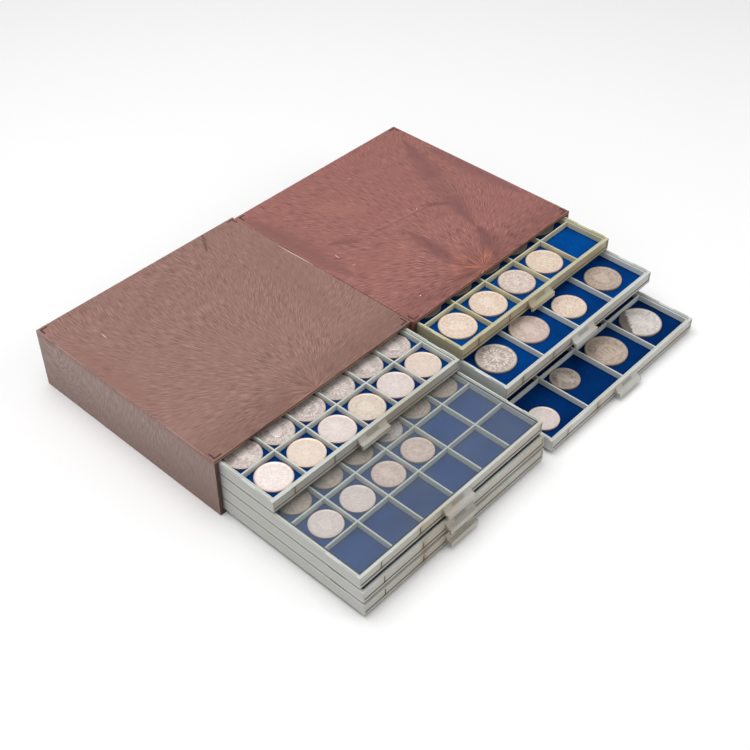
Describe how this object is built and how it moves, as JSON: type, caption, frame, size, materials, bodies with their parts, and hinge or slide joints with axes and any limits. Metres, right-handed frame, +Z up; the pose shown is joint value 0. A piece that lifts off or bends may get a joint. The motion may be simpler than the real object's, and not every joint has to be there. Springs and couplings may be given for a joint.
{
  "type": "coin display tray",
  "caption": "Side-by-side cases with sliding coin drawers pulled out in steps: velvet beds, square compartments, coins and clear covers.",
  "frame": {"origin": "middle of the overall footprint, on the surface the cases stand on", "axes": "+X to the right along the two cases, -Y the way the drawers pull out, +Z up"},
  "size_m": [0.4704, 0.4004, 0.064],
  "materials": {
    "left_case": "satin taupe-brown covering with a radiating grain",
    "right_case": "satin reddish-brown covering with a radiating grain",
    "back_board": "matt dark board",
    "grey_plastic": "satin moulded",
    "beige_plastic": "satin moulded, slightly yellowed",
    "pale_plastic": "satin moulded",
    "velvet": "flocked short pile",
    "clear_cover": "clear sheet with a slight haze",
    "coin": "worn struck silver"
  },
  "bodies": {
    "cases": {"left_case_sleeve": "left_case", "left_case_back_panel": "back_board", "right_case_sleeve": "right_case", "right_case_back_panel": "back_board"},
    "left_drawer_1": {"left_drawer_1_tray": "grey_plastic", "left_drawer_1_velvet": "velvet", "left_drawer_1_grid": "grey_plastic", "left_drawer_1_coin_row1_col1": "coin", "left_drawer_1_coin_row1_col2": "coin", "left_drawer_1_coin_row1_col3": "coin", "left_drawer_1_coin_row1_col4": "coin", "left_drawer_1_coin_row1_col5": "coin", "left_drawer_1_coin_row1_col6": "coin"},
    "left_drawer_2": {"left_drawer_2_tray": "grey_plastic", "left_drawer_2_velvet": "velvet", "left_drawer_2_grid": "grey_plastic", "left_drawer_2_cover": "clear_cover", "left_drawer_2_coin_row2_col1": "coin", "left_drawer_2_coin_row2_col2": "coin", "left_drawer_2_coin_row2_col3": "coin", "left_drawer_2_coin_row2_col4": "coin", "left_drawer_2_coin_row3_col1": "coin", "left_drawer_2_coin_row3_col2": "coin", "left_drawer_2_coin_row3_col3": "coin", "left_drawer_2_coin_row3_col4": "coin", "left_drawer_2_coin_row3_col5": "coin", "left_drawer_2_coin_row3_col6": "coin"},
    "left_drawer_3": {"left_drawer_3_tray": "grey_plastic", "left_drawer_3_velvet": "velvet", "left_drawer_3_grid": "grey_plastic", "left_drawer_3_cover": "clear_cover"},
    "left_drawer_4": {"left_drawer_4_tray": "grey_plastic", "left_drawer_4_velvet": "velvet", "left_drawer_4_grid": "grey_plastic", "left_drawer_4_cover": "clear_cover"},
    "right_drawer_1": {"right_drawer_1_tray": "beige_plastic", "right_drawer_1_velvet": "velvet", "right_drawer_1_grid": "beige_plastic", "right_drawer_1_coin_row1_col1": "coin", "right_drawer_1_coin_row1_col2": "coin", "right_drawer_1_coin_row1_col3": "coin", "right_drawer_1_coin_row1_col4": "coin"},
    "right_drawer_2": {"right_drawer_2_tray": "pale_plastic", "right_drawer_2_velvet": "velvet", "right_drawer_2_grid": "pale_plastic", "right_drawer_2_coin_row1_col1": "coin", "right_drawer_2_coin_row1_col2": "coin", "right_drawer_2_coin_row1_col3": "coin", "right_drawer_2_coin_row1_col4": "coin"},
    "right_drawer_3": {"right_drawer_3_tray": "pale_plastic", "right_drawer_3_velvet": "velvet", "right_drawer_3_grid": "pale_plastic"},
    "right_drawer_4": {"right_drawer_4_tray": "pale_plastic", "right_drawer_4_velvet": "velvet", "right_drawer_4_grid": "pale_plastic", "right_drawer_4_coin_row1_col1": "coin", "right_drawer_4_coin_row1_col2": "coin", "right_drawer_4_coin_row1_col3": "coin", "right_drawer_4_coin_row1_col4": "coin"}
  },
  "joints": [
    {"name": "left_drawer_1_slide", "type": "slide", "parent": "cases", "child": "left_drawer_1", "axis": [0, -1, 0], "range_m": [-0.061, 0.1236]},
    {"name": "left_drawer_2_slide", "type": "slide", "parent": "cases", "child": "left_drawer_2", "axis": [0, -1, 0], "range_m": [-0.1525, 0.0321]},
    {"name": "left_drawer_3_slide", "type": "slide", "parent": "cases", "child": "left_drawer_3", "axis": [0, -1, 0], "range_m": [-0.156, 0.0286]},
    {"name": "left_drawer_4_slide", "type": "slide", "parent": "cases", "child": "left_drawer_4", "axis": [0, -1, 0], "range_m": [-0.157, 0.0276]},
    {"name": "right_drawer_1_slide", "type": "slide", "parent": "cases", "child": "right_drawer_1", "axis": [0, -1, 0], "range_m": [-0.052, 0.1326]},
    {"name": "right_drawer_2_slide", "type": "slide", "parent": "cases", "child": "right_drawer_2", "axis": [0, -1, 0], "range_m": [-0.103, 0.0816]},
    {"name": "right_drawer_3_slide", "type": "slide", "parent": "cases", "child": "right_drawer_3", "axis": [0, -1, 0], "range_m": [0, 0.1846]},
    {"name": "right_drawer_4_slide", "type": "slide", "parent": "cases", "child": "right_drawer_4", "axis": [0, -1, 0], "range_m": [-0.1553, 0.0293]}
  ]
}
